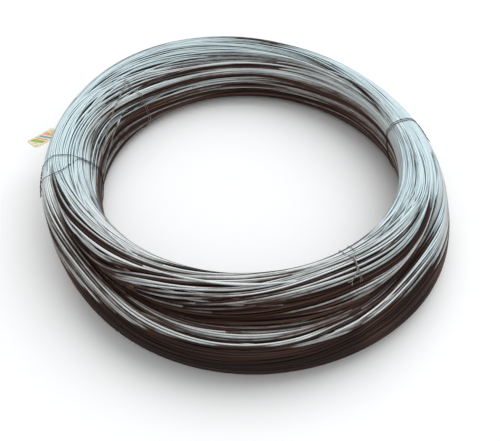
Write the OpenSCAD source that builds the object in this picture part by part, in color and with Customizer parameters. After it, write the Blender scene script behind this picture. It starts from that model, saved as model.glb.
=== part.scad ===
// Coil of steel wire, lying flat on the floor.
// One long wire is wound into a ring of many turns. The upper turns have slid back and to the
// left on the lower ones, which leaves a ledge at the front. Ties of thin binding wire go twice
// round the ring's cross-section at the left and right, and twice round the upper turns at the
// front and back. A small tag is wired to the rim on the left.
// Millimetres, +Z up. The origin is at floor level under the middle of the whole coil.
// +X is the coil's right side and -Y its front. Angles turn from the right towards the back.

/* [Coil] */
// Outside diameter over the lower turns
coil_outer_diameter = 820; // [740:1:900]
// Inside diameter between the lower turns
coil_eye_diameter = 600; // [520:1:660]
// Height of the coil as it lies
coil_height = 120; // [112:1:150]
// Height of the ledge, up to which the lower turns reach
ledge_height = 68; // [60:1:74]
// Radius of the rounded edges at the coil's top and foot
edge_radius = 30; // [24:1:32]
// Radius of the edges where the upper turns lie on the lower ones
ledge_edge_radius = 14; // [10:1:18]
// Difference between the outside diameters of the lower and the upper turns
upper_outer_reduction = 36; // [20:1:50]
// Difference between the inside diameters of the upper and the lower turns
upper_eye_widening = 12; // [0:1:24]
// Place of the lower turns' axis towards the right
lower_axis_x = 3; // [0:1:8]
// Place of the lower turns' axis towards the back
lower_axis_y = -5; // [-10:1:0]
// Place of the upper turns' axis towards the right
upper_axis_x = -9; // [-13:1:-4]
// Place of the upper turns' axis towards the back
upper_axis_y = 25; // [18:1:28]
// Diameter of the coiled wire
wire_diameter = 4; // [3.2:0.1:5.5]
// Spacing of neighbouring turns as a share of the wire's diameter
turn_spacing_share = 1.06; // [1.05:0.01:1.2]

/* [Ties] */
// Diameter of the binding wire
tie_diameter = 1.2; // [0.9:0.1:1.3]
// Clearance between a tie and the turns under it
tie_clearance = 0.25; // [0.2:0.01:0.3]
// Direction of the tie on the left
left_tie_angle = 195; // [188:1:204]
// Direction of the tie on the right
right_tie_angle = 22; // [5:1:40]
// Direction of the tie at the front
front_tie_angle = 310; // [290:1:330]
// Direction of the tie at the back
back_tie_angle = 152; // [140:1:156]
// Distance between the two strands of a tie
strand_gap = 5; // [4:0.1:7]
// Distance of the left tie's strands where they part at the outer edge
left_tie_spread_width = 40; // [20:1:50]
// Angle of the loop on each side of the knot over which the binding wire changes sides
knot_crossing_angle = 24; // [16:1:32]
// Length of the twisted ends at the left, right and front knots
short_twist_length = 34; // [28:1:38]
// Length of the twisted ends at the back knot
long_twist_length = 118; // [80:1:125]
// Number of full turns in the short twisted ends
short_twist_turns = 3; // [2:1:4]
// Number of full turns in the long twisted ends
long_twist_turns = 6; // [4:1:8]
// Radius of the bend in the long twisted ends
twist_bend_radius = 25; // [20:1:30]
// Angle by which the long twisted ends bend along the ring
twist_bend_angle = 80; // [60:1:85]

/* [Tag] */
// Length of the tag
tag_length = 62; // [54:1:64]
// Width of the tag
tag_width = 28; // [22:1:32]
// Thickness of the tag
tag_thickness = 0.8; // [0.6:0.1:1.2]
// Radius of the tag's corners
tag_corner_radius = 4; // [2:0.5:7]
// Diameter of the tag's hole
tag_hole_diameter = 5; // [4:0.1:6]
// Distance of the hole's centre from the tag's inner end
tag_hole_inset = 6; // [5:0.1:8]
// Clearance between the tag, its wire and the coil
tag_clearance = 0.2; // [0.1:0.05:0.3]
// Diameter of the wire that holds the tag
tag_wire_diameter = 1.2; // [0.9:0.1:1.6]
// Direction of the tag's hole as seen from the coil's axis
tag_angle = 181; // [176:1:186]
// Angle between the tag and the outward direction
tag_heading = 58; // [40:1:70]

/* [Hidden] */
round_steps = 96;
turn_facets = 12;
wire_steps = 32;
strand_sides = 6;
hairpin_steps = 6;
loop_steps = 80;
twist_steps_per_turn = 8;
edge_limit_share = 0.46;
top_edge_limit_share = 0.62;
twist_radius_share = 0.56;
twist_lift_share = 2.2;
root_share = 6.5;
overrun = coil_height / 20;
bore_r = coil_eye_diameter / 2;
outer_r = coil_outer_diameter / 2;
upper_bore_r = bore_r + upper_eye_widening / 2;
upper_outer_r = outer_r - upper_outer_reduction / 2;
upper_height = coil_height - ledge_height;
wire_r = wire_diameter / 2;
tie_r = tie_diameter / 2;
section_width = outer_r - bore_r;
upper_width = upper_outer_r - upper_bore_r;
edge_r = min(
  edge_radius,
  edge_limit_share * upper_width,
  edge_limit_share * ledge_height,
  top_edge_limit_share * upper_height
);
ledge_r = min(ledge_edge_radius, edge_limit_share * upper_width, upper_height - edge_r);
lower_axis = [lower_axis_x, lower_axis_y, 0];
upper_axis = [upper_axis_x, upper_axis_y, 0];
slide = upper_axis - lower_axis;

// Outline of one bundle of turns: width, height, and the radii of its far and near edges. The
// near side, where the other bundle lies, is plain; round the rest each turn shows half of its
// round, in flats whose middle one is true to the floor, the top, the outer wall or the bore.
facet_angle = 360 / turn_facets;
facet_r = wire_r / cos(facet_angle / 2);
lower_outline = [
  for (p = bundle_outline(section_width, ledge_height, edge_r, ledge_r)) [bore_r + p[0], p[1]]
];
upper_outline = [
  for (p = bundle_outline(upper_width, upper_height, edge_r, ledge_r))
    [upper_bore_r + p[0], coil_height - p[1]]
];

// A tie's strands lie in a slot of the turns under them.
tie_out = tie_clearance + tie_r;
slot_depth = tie_diameter + 2 * tie_clearance;
slot_width = strand_gap + tie_diameter + 2 * tie_clearance;
tie_foot_r = edge_r + tie_out - sqrt(pow(edge_r, 2) - pow(edge_r - 2 * slot_depth, 2));
twist_r = twist_radius_share * tie_diameter;
twist_lift = twist_lift_share * tie_diameter;
root_length = root_share * tie_diameter;

// Places of the knots, as the direction in which the loop faces there: on the outer wall, and
// at the inner and the outer end of the coil's top.
knot_step = 360 / loop_steps;
wall_knot = 0;
front_knot = 90 + knot_step;
back_knot = 90 - knot_step;

function sum_to(list, count, i = 0, total = 0) =
  i >= count ? total : sum_to(list, count, i + 1, total + list[i]);

function corner(x, z, r, angle) = [x + r * cos(angle), z + r * sin(angle), angle];

function in_turn(length, r) = length / r * 180 / PI;

// Lengths of the turns' centre line round a bundle, from one end of its near side to the other.
function bundle_pieces(w, h, far, near) = [
  near * PI / 2,
  h - near - far,
  far * PI / 2,
  w - 2 * far,
  far * PI / 2,
  h - near - far,
  near * PI / 2
];

// Point of that centre line at a distance along it, with the angle of its outward normal.
function bundle_at(s, w, h, far, near) =
  let (ends = [for (i = [1 : 6]) sum_to(bundle_pieces(w, h, far, near), i)])
  s < ends[0] ? corner(w - near, h - near, near, 90 - in_turn(s, near)) :
  s < ends[1] ? [w, h - near - (s - ends[0]), 0] :
  s < ends[2] ? corner(w - far, far, far, -in_turn(s - ends[1], far)) :
  s < ends[3] ? [w - far - (s - ends[2]), 0, -90] :
  s < ends[4] ? corner(far, far, far, -90 - in_turn(s - ends[3], far)) :
  s < ends[5] ? [0, far + (s - ends[4]), -180] :
  corner(near, h - near, near, -180 - in_turn(s - ends[5], near));

// Flats of one turn from the first to the last corner, with room for the wire round the line.
function turn_flats(p, first, last) = [
  for (k = [first : last])
    let (q = corner(p[0], p[1], facet_r, p[2] + 90 + facet_angle / 2 - k * facet_angle))
    [q[0] + wire_r, q[1] + wire_r]
];

function bundle_outline(width, height, far_r, near_r) =
  let (
    w = width - wire_diameter,
    h = height - wire_diameter,
    far = far_r - wire_r,
    near = near_r - wire_r,
    line = sum_to(bundle_pieces(w, h, far, near), 7),
    count = floor(line / (turn_spacing_share * wire_diameter)),
    middle = turn_facets / 4
  )
  [
    for (i = [0 : count])
      each turn_flats(
        bundle_at(i * line / count, w, h, far, near),
        i == 0 ? middle + 1 : 1,
        i == count ? middle : turn_facets / 2
      )
  ];

function unit(v) = v / norm(v);

function limited(value) = max(-1, min(1, value));

// Distance along a tie's direction to a circle, at a place beside the tie's middle plane. The
// circle's centre is moved from the lower turns' axis.
function reach(move, r, angle, side) =
  let (across = move * [-sin(angle), cos(angle), 0])
  move * [cos(angle), sin(angle), 0] + sqrt(pow(r, 2) - pow(side - across, 2));

// Edges that a tight loop can bear on, as circles in the tie's plane: those that face up and
// those that face down.
function loop_edges(angle, side) =
  let (
    x0 = reach([0, 0, 0], bore_r, angle, side),
    x1 = reach([0, 0, 0], outer_r, angle, side),
    upper_x0 = reach(slide, upper_bore_r, angle, side),
    upper_x1 = reach(slide, upper_outer_r, angle, side),
    ledge_out = ledge_r + tie_out,
    top_out = edge_r + tie_out
  )
  [
    [
      [x0 + ledge_r, ledge_height - ledge_r, ledge_out],
      [x1 - ledge_r, ledge_height - ledge_r, ledge_out],
      [upper_x0 + edge_r, coil_height - edge_r, top_out],
      [upper_x1 - edge_r, coil_height - edge_r, top_out]
    ],
    [
      [x0 - tie_out + tie_foot_r, tie_out + tie_foot_r, tie_foot_r],
      [x1 + tie_out - tie_foot_r, tie_out + tie_foot_r, tie_foot_r],
      [upper_x0 + ledge_r, ledge_height + ledge_r, ledge_out],
      [upper_x1 - ledge_r, ledge_height + ledge_r, ledge_out]
    ]
  ];

// Point where the loop faces a direction: on the edge that stands out furthest that way. A loop
// round the upper turns alone bears on their edges only.
function loop_at(edges, facing, upper) =
  let (
    able = [for (i = [upper ? 2 : 0 : 3]) edges[sin(facing) < 0 ? 1 : 0][i]],
    out = [for (e = able) e[0] * cos(facing) + e[1] * sin(facing) + e[2]],
    best = [for (i = [0 : len(able) - 1]) if (out[i] == max(out)) able[i]][0]
  )
  corner(best[0], best[1], best[2], facing);

// Sideways place of the strand after a number of loops: it changes sides at the knot, and parts
// over the outer edge.
function strand_side(loops, facing, spread) =
  let (
    turned = facing - 360 * floor(facing / 360),
    part = max(0, 1 - abs(turned - 45) / 45)
  )
  strand_gap / 2 * limited((loops - 1) * 360 / knot_crossing_angle)
  + (loops < 1 ? -1 : 1) * (spread - strand_gap) / 2 * part;

// Place beside the knot: along the strand, sideways and out from the coil.
function by_knot(p, way, along, side, out) = [
  p[0] + out * cos(p[2]) + way * along * sin(p[2]),
  side,
  p[1] + out * sin(p[2]) - way * along * cos(p[2])
];

// Middle line of the twisted ends: a bend, then straight on. Gives place and heading.
function twist_axis(distance, bend) =
  let (
    bend_length = bend * PI / 180 * twist_bend_radius,
    turned = min(distance, bend_length),
    heading = in_turn(turned, twist_bend_radius),
    rest = distance - turned
  )
  [
    root_length + twist_bend_radius * sin(heading) + rest * cos(heading),
    twist_bend_radius * (1 - cos(heading)) + rest * sin(heading),
    heading
  ];

// A bend of zero leaves the twisted ends straight.
function twist_point(knot, way, length, turns, bend, share, phase) =
  let (
    axis = twist_axis(share * length, bend),
    angle = phase + 360 * turns * share,
    side = twist_r * cos(angle)
  )
  by_knot(
    knot,
    way,
    axis[0] - side * sin(axis[2]),
    axis[1] + side * cos(axis[2]),
    twist_lift + twist_r * sin(angle)
  );

function twist_line(knot, way, length, turns, bend, phase) =
  let (count = turns * twist_steps_per_turn)
  [for (i = [0 : count]) twist_point(knot, way, length, turns, bend, i / count, phase)];

// Hairpin from the coil's surface up to the twisted ends.
function hairpin(knot, way) = [
  for (i = [0 : hairpin_steps])
    let (angle = 180 * i / hairpin_steps)
    by_knot(
      knot,
      way,
      twist_lift / 2 * -sin(angle),
      -strand_gap / 2,
      twist_lift / 2 * (1 - cos(angle))
    )
];

// Rise of the other strand into the twisted ends.
function rise(knot, way) = [
  for (i = [1 : hairpin_steps - 1])
    let (share = i / hairpin_steps, ease = (1 - cos(180 * share)) / 2)
    by_knot(
      knot,
      way,
      root_length * share,
      strand_gap / 2 + (twist_r - strand_gap / 2) * ease,
      twist_lift * ease
    )
];

function reversed(list) = [for (i = [len(list) - 1 : -1 : 0]) list[i]];

// The whole binding wire of one tie, from one twisted end round the coil twice to the other.
function tie_path(angle, upper, facing, way, spread, length, turns, bend) =
  let (knot = loop_at(loop_edges(angle, 0), facing, upper))
  concat(
    reversed(twist_line(knot, way, length, turns, bend, 180)),
    reversed(hairpin(knot, way)),
    [
      for (i = [1 : 2 * loop_steps])
        let (
          now = facing - way * i * knot_step,
          side = strand_side(i / loop_steps, now, spread),
          p = loop_at(loop_edges(angle, side), now, upper)
        )
        [p[0], side, p[1]]
    ],
    rise(knot, way),
    twist_line(knot, way, length, turns, bend, 0)
  );

function headings(path) = [
  for (i = [0 : len(path) - 1]) unit(path[min(i + 1, len(path) - 1)] - path[max(i - 1, 0)])
];

function square_to(v, heading) = unit(v - (v * heading) * heading);

// Directions across the strand, carried along it without twist.
function across(ways) = [
  for (
    i = 0, v = square_to([0, 1, 0], ways[0]);
    i < len(ways);
    i = i + 1, v = square_to(v, ways[min(i, len(ways) - 1)])
  ) v
];

// Round wire along a path.
module strand(path, r) {
  ways = headings(path);
  firsts = across(ways);
  last = len(path) - 1;
  points = [
    for (i = [0 : last])
      let (second = cross(ways[i], firsts[i]))
      for (k = [0 : strand_sides - 1])
        let (angle = 360 * k / strand_sides)
        path[i] + r * cos(angle) * firsts[i] + r * sin(angle) * second
  ];
  near_sides = [
    for (i = [0 : last - 1], k = [0 : strand_sides - 1])
      [i * strand_sides + k, (i + 1) * strand_sides + k, i * strand_sides + (k + 1) % strand_sides]
  ];
  far_sides = [
    for (i = [0 : last - 1], k = [0 : strand_sides - 1])
      [
        (i + 1) * strand_sides + k,
        (i + 1) * strand_sides + (k + 1) % strand_sides,
        i * strand_sides + (k + 1) % strand_sides
      ]
  ];
  caps = [
    [for (k = [0 : strand_sides - 1]) k],
    [for (k = [strand_sides - 1 : -1 : 0]) last * strand_sides + k]
  ];
  polyhedron(points = points, faces = concat(near_sides, far_sides, caps));
}

// Slot for a tie from a height upwards, where the turns are drawn in.
module tie_slot(angle, z) {
  translate(lower_axis)
    rotate([0, 0, angle])
      translate([bore_r - overrun, -slot_width / 2, z])
        cube([section_width + 2 * overrun, slot_width, slot_depth + overrun]);
}

module bundle(axis, outline) {
  translate(axis)
    rotate_extrude($fn = round_steps)
      polygon(outline);
}

module wire_coil() {
  color("slategray") {
    difference() {
      bundle(lower_axis, lower_outline);
      for (angle = [left_tie_angle, right_tie_angle])
        tie_slot(angle, -overrun);
      for (angle = [front_tie_angle, back_tie_angle])
        tie_slot(angle, ledge_height - slot_depth);
    }
    bundle(upper_axis, upper_outline);
  }
}

module tie(angle, upper, facing, way, spread, length, turns, bend) {
  translate(lower_axis)
    rotate([0, 0, angle])
      strand(tie_path(angle, upper, facing, way, spread, length, turns, bend), tie_r);
}

module left_tie() {
  color("dimgray")
    tie(
      left_tie_angle,
      false,
      wall_knot,
      1,
      left_tie_spread_width,
      short_twist_length,
      short_twist_turns,
      0
    );
}

module right_tie() {
  color("dimgray")
    tie(
      right_tie_angle,
      false,
      wall_knot,
      1,
      strand_gap,
      short_twist_length,
      short_twist_turns,
      0
    );
}

module front_tie() {
  color("lightgray")
    tie(
      front_tie_angle,
      true,
      front_knot,
      1,
      strand_gap,
      short_twist_length,
      short_twist_turns,
      0
    );
}

module back_tie() {
  color("lightgray")
    tie(
      back_tie_angle,
      true,
      back_knot,
      -1,
      strand_gap,
      long_twist_length,
      long_twist_turns,
      twist_bend_angle
    );
}

// Frame of the tag: its hole on the coil's top where the outer edge begins to fall away.
module at_tag() {
  translate(upper_axis)
    rotate([0, 0, tag_angle])
      translate([upper_outer_r - edge_r, 0, coil_height + tag_clearance])
        rotate([0, 0, tag_heading])
          children();
}

module tag_outline() {
  difference() {
    union() {
      translate([-tag_hole_inset, tag_corner_radius - tag_width / 2])
        square([tag_length, tag_width - 2 * tag_corner_radius]);
      translate([tag_corner_radius - tag_hole_inset, -tag_width / 2])
        square([tag_length - 2 * tag_corner_radius, tag_width]);
      for (x = [tag_corner_radius, tag_length - tag_corner_radius], side = [-1, 1])
        translate([x - tag_hole_inset, side * (tag_width / 2 - tag_corner_radius)])
          circle(r = tag_corner_radius, $fn = wire_steps);
    }
    circle(r = tag_hole_diameter / 2, $fn = wire_steps);
  }
}

module tag() {
  color("cornsilk")
    at_tag()
      linear_extrude(height = tag_thickness)
        tag_outline();
}

// Arch of wire through the tag's hole and over its inner end, down to the coil's turns.
module tag_wire() {
  color("gray")
    at_tag()
      translate([-tag_hole_inset, 0, 0])
        rotate([90, 0, 0])
          rotate_extrude(angle = 180, $fn = round_steps)
            translate([tag_hole_inset, 0])
              circle(r = tag_wire_diameter / 2, $fn = wire_steps);
}

wire_coil();
left_tie();
right_tie();
front_tie();
back_tie();
tag();
tag_wire();
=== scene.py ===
import math

import bpy
import numpy as np
from mathutils import Matrix


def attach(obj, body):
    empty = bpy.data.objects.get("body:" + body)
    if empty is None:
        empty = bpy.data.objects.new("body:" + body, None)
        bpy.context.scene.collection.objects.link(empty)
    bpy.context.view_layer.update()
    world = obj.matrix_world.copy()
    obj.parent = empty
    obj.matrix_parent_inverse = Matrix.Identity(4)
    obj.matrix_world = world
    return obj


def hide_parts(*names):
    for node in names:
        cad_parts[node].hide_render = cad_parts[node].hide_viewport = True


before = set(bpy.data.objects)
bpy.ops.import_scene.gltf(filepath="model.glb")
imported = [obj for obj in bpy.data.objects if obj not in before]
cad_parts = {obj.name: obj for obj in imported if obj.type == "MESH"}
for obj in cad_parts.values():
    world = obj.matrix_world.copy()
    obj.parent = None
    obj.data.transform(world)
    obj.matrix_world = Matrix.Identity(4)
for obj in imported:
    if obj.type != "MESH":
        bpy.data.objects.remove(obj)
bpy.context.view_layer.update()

MM = 0.001
TURN = 360.0
UP = np.array([0.0, 0.0, 1.0])
NEARLY_UP = np.array([0.1, 0.2, 1.0])
rng = np.random.default_rng(41)

# Sizes of the coil in millimetres and degrees. The angle round the ring (theta) is 0 at +X and
# 90 at the back (+Y). The angle round the section (phi) is 0 at the outer wall, 90 on top,
# 180 at the inner wall and 270 underneath.
WIRE = 4.0
TIE_WIRE = 1.2
WIRE_SIDES, UNDER_SIDES, TIE_SIDES, LOOP_SIDES = 6, 5, 6, 8
SECTION_POWER = 2.9
LEAN_X, LEAN_Y = 43.5, -20.7
SHIFT_Y = -8.0
GRID_TURN, GRID_ROUND = 360, 512
# Radius of the inner and the outer wall, and the height, round the ring: a mean, then a cosine and
# a sine of theta, of twice theta and so on.
EYE_WAVES = (296.5, (0, 14.8), (10.5, 11.8), (2.3, -1.0))
OUTER_WAVES = (410.0, (-2.9, 3.4), (-11.0, -4.9), (9.7, -2.7))
HEIGHT_WAVES = (120.2, (1.7, -0.6), (4.6, 8.2))


def waves(theta, row):
    """Mean plus a cosine and a sine of each whole multiple of theta."""
    mean, *pairs = row
    turn = np.radians(theta)
    return mean + sum(c * np.cos(n * turn) + s * np.sin(n * turn)
                      for n, (c, s) in enumerate(pairs, 1))


def soft_step(low, high, x):
    """Smooth rise from 0 at low to 1 at high."""
    t = np.clip((x - low) / (high - low), 0, 1)
    return t * t * (3 - 2 * t)


def between(x, start, full, fading, end):
    """Smooth rise from 0 at start to 1 at full, and smooth fall from 1 at fading to 0 at end."""
    return soft_step(start, full, x) * soft_step(end, fading, x)


def bell(theta, middle, width):
    """1 at the middle angle, and small beyond the width to both sides of it round the ring."""
    return np.exp(-(((theta - middle + TURN / 2) % TURN - TURN / 2) / width) ** 2)


def section(theta, phi):
    """Superellipse section of the ring: radius, height and outward normal at each angle pair."""
    outer, eye = waves(theta, OUTER_WAVES), waves(theta, EYE_WAVES)
    half, middle = (outer - eye) / 2, (outer + eye) / 2
    tall = waves(theta, HEIGHT_WAVES) / 2
    c, s = np.cos(np.radians(phi)), np.sin(np.radians(phi))
    across = np.sign(c) * np.abs(c) ** (2 / SECTION_POWER)
    up = np.sign(s) * np.abs(s) ** (2 / SECTION_POWER)
    n_r = np.sign(c) * np.abs(across) ** (SECTION_POWER - 1) / half
    n_z = np.sign(s) * np.abs(up) ** (SECTION_POWER - 1) / tall
    size = np.hypot(n_r, n_z)
    return middle + half * across, tall + tall * up, n_r / size, n_z / size


# Way along the section from the bottom middle for each phi, measured on the section at one angle.
MEASURED_AT = 45.0
section_phi = np.linspace(-90, 270, 7201)
section_r, section_z, _, _ = section(np.full_like(section_phi, MEASURED_AT), section_phi)
section_way = np.concatenate([[0], np.cumsum(np.hypot(np.diff(section_r), np.diff(section_z)))])
ROUND = section_way[-1]


def way_of(phi):
    """Millimetres along the section at an angle phi, counted from the bottom middle."""
    return np.interp(phi, section_phi, section_way)


def phi_of(way):
    """The angle phi at a way along the section."""
    return np.interp(way, section_way, section_phi)


# Lay lines: the strands run along them, and most are furrows between bundles for part of the
# ring. Each row is (theta, phi, furrow depth), without a depth where there is no furrow. The
# numbers after the rows are the widths of the furrow's flanks, towards lower and higher phi.
LAY_LINES = [
    ([(195, 62), (206, 66, 2), (212, 63, 4), (218, 57, 6), (228, 47, 9), (239, 40, 9),
      (250, 33, 7), (262, 29, 6), (274, 30, 5), (284, 32, 7), (292, 37, 9), (300, 40, 12),
      (308, 40, 15), (318, 40, 18), (328, 40, 18), (336, 37, 14), (344, 36, 8), (352, 36), (20, 38),
      (46, 42), (72, 46), (96, 50), (122, 54), (152, 57), (176, 60)], 8.0, 17.0),
    ([(195, 66), (206, 68), (214, 64, 2), (222, 57, 5), (230, 53, 10), (246, 53, 16),
      (256, 51, 17), (268, 57, 18), (282, 56, 17), (294, 53, 13), (304, 54, 8), (316, 56, 4),
      (330, 57), (342, 56), (20, 56), (46, 57), (72, 58), (96, 59), (122, 61), (152, 63),
      (176, 65)], 9.0, 21.0),
    ([(195, 69), (206, 70.5, 1), (214, 67, 3), (222, 63, 7), (230, 68, 12), (238, 74, 18),
      (246, 76, 18), (256, 79, 14), (264, 82, 9), (276, 85, 5), (288, 87, 4), (298, 87, 6),
      (308, 86, 9), (318, 82, 12), (328, 77, 14), (338, 75, 12), (346, 74, 7), (354, 74), (20, 76),
      (46, 74), (72, 71), (96, 69), (122, 68), (152, 67), (176, 68)], 9.0, 11.0),
    ([(195, 72), (206, 73, 2), (214, 76, 4), (222, 76.5, 6), (230, 80, 7), (238, 86, 5),
      (246, 92, 3), (264, 104), (282, 113), (300, 120, 2), (310, 119, 4), (320, 114.5, 6),
      (330, 106, 7), (340, 96, 6), (350, 89, 4), (357, 88), (20, 95), (34, 92), (46, 88), (58, 84),
      (72, 80), (96, 76), (122, 73), (152, 71), (176, 71)], 5.0, 8.0),
    ([(195, 75), (206, 78, 2), (214, 85, 5), (224, 92, 8), (234, 98, 8), (246, 105, 7),
      (256, 114, 5), (266, 124, 2), (282, 132), (300, 136), (318, 132), (336, 118), (352, 107),
      (20, 115), (34, 110), (46, 100), (58, 93), (72, 88), (96, 85), (122, 80), (152, 75),
      (176, 74)], 6.0, 8.0),
    ([(195, 77), (212, 92), (228, 104), (246, 116), (264, 132), (282, 142), (300, 146),
      (318, 143), (336, 132), (352, 124), (10, 128), (20, 133, 2), (28, 133, 4), (34, 130, 6),
      (46, 113, 8), (58, 104, 8), (72, 97, 6), (84, 94, 4), (96, 92, 2), (109, 90), (122, 86),
      (138, 82), (152, 79), (164, 77), (176, 76)], 9.0, 6.0),
    ([(195, 81), (212, 98), (228, 113), (246, 127), (264, 142), (282, 150), (300, 154),
      (318, 150), (336, 140), (352, 132), (10, 134), (20, 138), (34, 137, 2), (46, 134, 4),
      (58, 133, 6), (72, 132, 9), (84, 127, 11), (96, 123, 12), (108, 121, 12), (122, 118, 11),
      (138, 104, 9), (150, 95, 7), (160, 86, 4), (170, 81), (182, 80)], 13.0, 8.0),
    ([(195, 98), (204, 103, 3), (212, 112, 4), (220, 124, 3), (228, 130), (246, 140), (264, 152),
      (282, 159), (300, 162), (318, 158), (336, 147), (352, 139), (20, 142), (34, 142), (58, 144),
      (84, 140), (108, 137), (122, 136), (138, 125), (152, 114), (164, 104), (176, 98)], 4.0, 4.0),
    ([(195, 117), (186, 114.5, 4), (176, 114, 7), (168, 118, 8), (154, 132, 10), (139, 143, 12),
      (125, 151, 12), (109, 152, 10), (93, 152, 9), (74, 151, 8), (58, 153, 5), (44, 150, 2),
      (30, 147), (20, 147), (352, 146), (336, 154), (318, 164), (300, 168), (282, 166), (264, 160),
      (246, 149), (228, 137), (212, 126)], 12.0, 7.0),
    ([(195, 140), (188, 140, 2), (184, 139, 5), (177, 141, 6), (168, 146, 5), (160, 150, 3),
      (150, 154), (130, 161), (109, 162), (84, 162), (58, 163), (34, 157), (20, 155), (352, 160),
      (336, 168), (318, 176), (300, 180), (282, 178), (264, 174), (246, 166), (228, 158),
      (212, 150)], 6.0, 5.0),
    ([(206, 172), (198, 172, 4), (190, 172, 6), (182, 166, 8), (172, 161.5, 9), (164, 160.5, 9),
      (148, 172, 10), (132, 177, 10), (116, 176, 10), (103, 174, 8), (90, 174, 6), (78, 176, 4),
      (64, 177), (46, 174), (20, 170), (352, 176), (336, 182), (318, 188), (300, 190), (282, 190),
      (264, 188), (246, 184), (228, 180)], 11.0, 7.0),
]
FIRST, SECOND, THIRD, FOURTH, FIFTH = range(5)

theta_grid = np.arange(GRID_TURN) * TURN / GRID_TURN
way_grid = np.arange(GRID_ROUND) * ROUND / GRID_ROUND


def eased(values, taps=4):
    """Values round the ring averaged with their neighbours, so that a lay line has no corners."""
    weights = np.exp(-0.5 * (np.arange(-2 * taps, 2 * taps + 1) / taps) ** 2)
    return sum(w * np.roll(values, i) for i, w in zip(range(-2 * taps, 2 * taps + 1), weights)) \
        / weights.sum()


def lay_line(rows):
    """Way along the section and furrow depth of one lay line at each grid angle."""
    rows = np.array([(*row, 0)[:3] for row in sorted(rows)], float)
    way = np.interp(theta_grid, rows[:, 0], way_of(rows[:, 1]), period=TURN)
    depth = np.interp(theta_grid, rows[:, 0], rows[:, 2], period=TURN)
    return eased(way), eased(depth)


line_ways = []
furrow = np.zeros((GRID_TURN, GRID_ROUND))
for rows, low_flank, high_flank in LAY_LINES:
    way, depth = lay_line(rows)
    line_ways.append(way)
    away = way_grid[None, :] - way[:, None]
    furrow += depth[:, None] * np.exp(-(away / np.where(away < 0, low_flank, high_flank)) ** 2)
line_ways = np.array(line_ways).T


def past_line(line):
    """How far along the section each grid point lies past a lay line."""
    return way_grid[None, :] - line_ways[:, line, None]


def round_rows(rows, taps=4):
    """Values at each grid angle from rows of (theta, value), eased, and 0 outside the rows."""
    rows = np.array(rows, float)
    return eased(np.interp(theta_grid, rows[:, 0], rows[:, 1], left=0, right=0), taps)[:, None]


# The step at the front, where the upper turns stand back from the lower ones. Rows of
# (theta, how far back), for the step at the second lay line and the one at the first.
FRONT_STEP = [(206, 0), (214, 6), (222, 14), (230, 24), (240, 32), (250, 38), (262, 42), (274, 43),
              (286, 40), (296, 30), (306, 18), (316, 8), (328, 0)]
RIGHT_STEP = [(268, 0), (278, 3), (288, 8), (298, 14), (310, 22), (320, 28), (330, 27), (338, 20),
              (346, 10), (354, 0)]
DEEPEST_STEP = 43.0
BACK_SHARE, DOWN_SHARE = 0.70, 0.72
# The top edge of each step's wall, past the third lay line, and the ledge's own width.
FRONT_TOP, RIGHT_TOP = 8.0, -1.0
FRONT_LEDGE, RIGHT_LEDGE = 15.0, 13.0
# The pale band on each ledge, rubbed steel with painted light where the ledge faces up, in rows of
# (theta, width).
FRONT_SHINE = [(206, 30), (230, 31), (250, 26), (270, 22), (290, 19), (328, 16)]
RIGHT_SHINE = [(268, 7), (285, 11), (300, 16), (320, 19), (338, 20), (354, 20)]
# Size of step from which the ledge is fully pale, and sizes over which the wall below turns dark,
# brown film with painted shade.
LEDGE_FULL, LOW_WALL_FROM, LOW_WALL_FULL = 8.0, 10.0, 26.0
# Angles theta over which the dark wall ends at the right, and the reach of the painted shade at the
# foot.
LOW_WALL_FADING, LOW_WALL_END = 322, 341
FOOT_REACH = 4.5


def step_back(rows, line, top, ledge, shine):
    """How far the surface moves back at each grid point, and marks from 0 to 1 for the painted
    shade at the foot of the step, for its ledge, pale with rub and painted light, as wide as shine,
    and for the wall below the ledge, brown film with painted shade.

    The move is full at the foot, which is a lay line. It falls to nothing at the top edge of the
    wall above, and fades away below the ledge.
    """
    size = round_rows(rows, 3)
    wide = np.interp(theta_grid, *np.array(shine, float).T)[:, None]
    x = past_line(line)
    rise = (line_ways[:, THIRD] + top - line_ways[:, line])[:, None]
    above = 1 - np.clip(x / rise, 0, 1) ** 1.5
    below = 1 - 0.35 * soft_step(0, -ledge, x) - 0.65 * soft_step(-ledge, -ledge * 4.2, x)
    foot = size / DEEPEST_STEP * np.exp(-(x / FOOT_REACH) ** 2)
    pale = np.clip(size / LEDGE_FULL, 0, 1) * soft_step(1, -3, x) * soft_step(-1.5, -0.75, x / wide)
    low = np.clip((size - LOW_WALL_FROM) / (LOW_WALL_FULL - LOW_WALL_FROM), 0, 1) \
        * soft_step(-0.9, -1.6, x / wide)
    return size * np.where(x > 0, above, below), foot, pale, low


front = step_back(FRONT_STEP, SECOND, FRONT_TOP, FRONT_LEDGE, FRONT_SHINE)
right_front = step_back(RIGHT_STEP, FIRST, RIGHT_TOP, RIGHT_LEDGE, RIGHT_SHINE)
step_move, foot_shade, ledge_mark, low_mark = (
    np.maximum(f, r) for f, r in zip(front, right_front))
low_mark = low_mark * soft_step(LOW_WALL_END, LOW_WALL_FADING, theta_grid)[:, None]

# Other places where strands are pale, partly rubbed steel and partly painted light, in rows of
# (theta, how far): the wall above the step, the brink above that wall, and groups of strands that
# lie open between two furrows at the left and the right front. The right group starts by rows of
# (theta, way past the first lay line).
WALL_SHINE = [(212, 0), (225, 0.3), (250, 0.2), (264, 0.4), (277, 0.44), (288, 0.48), (300, 0.6),
              (332, 0.65), (345, 0.4), (354, 0)]
BRINK_SHINE = [(210, 0), (222, 0.8), (240, 1), (262, 0.95), (272, 0.6), (284, 0.4), (296, 0.3),
               (310, 0)]
LEFT_GROUP_SHINE = [(206, 0), (214, 0.9), (234, 0.9), (242, 0.6), (254, 0)]
RIGHT_GROUP_SHINE = [(306, 0), (316, 0.9), (324, 1), (342, 1), (350, 0.6), (356, 0)]
RIGHT_GROUP_START = [(306, 22), (316, 18), (324, 13), (332, 8), (342, 2), (350, 0)]
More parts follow.
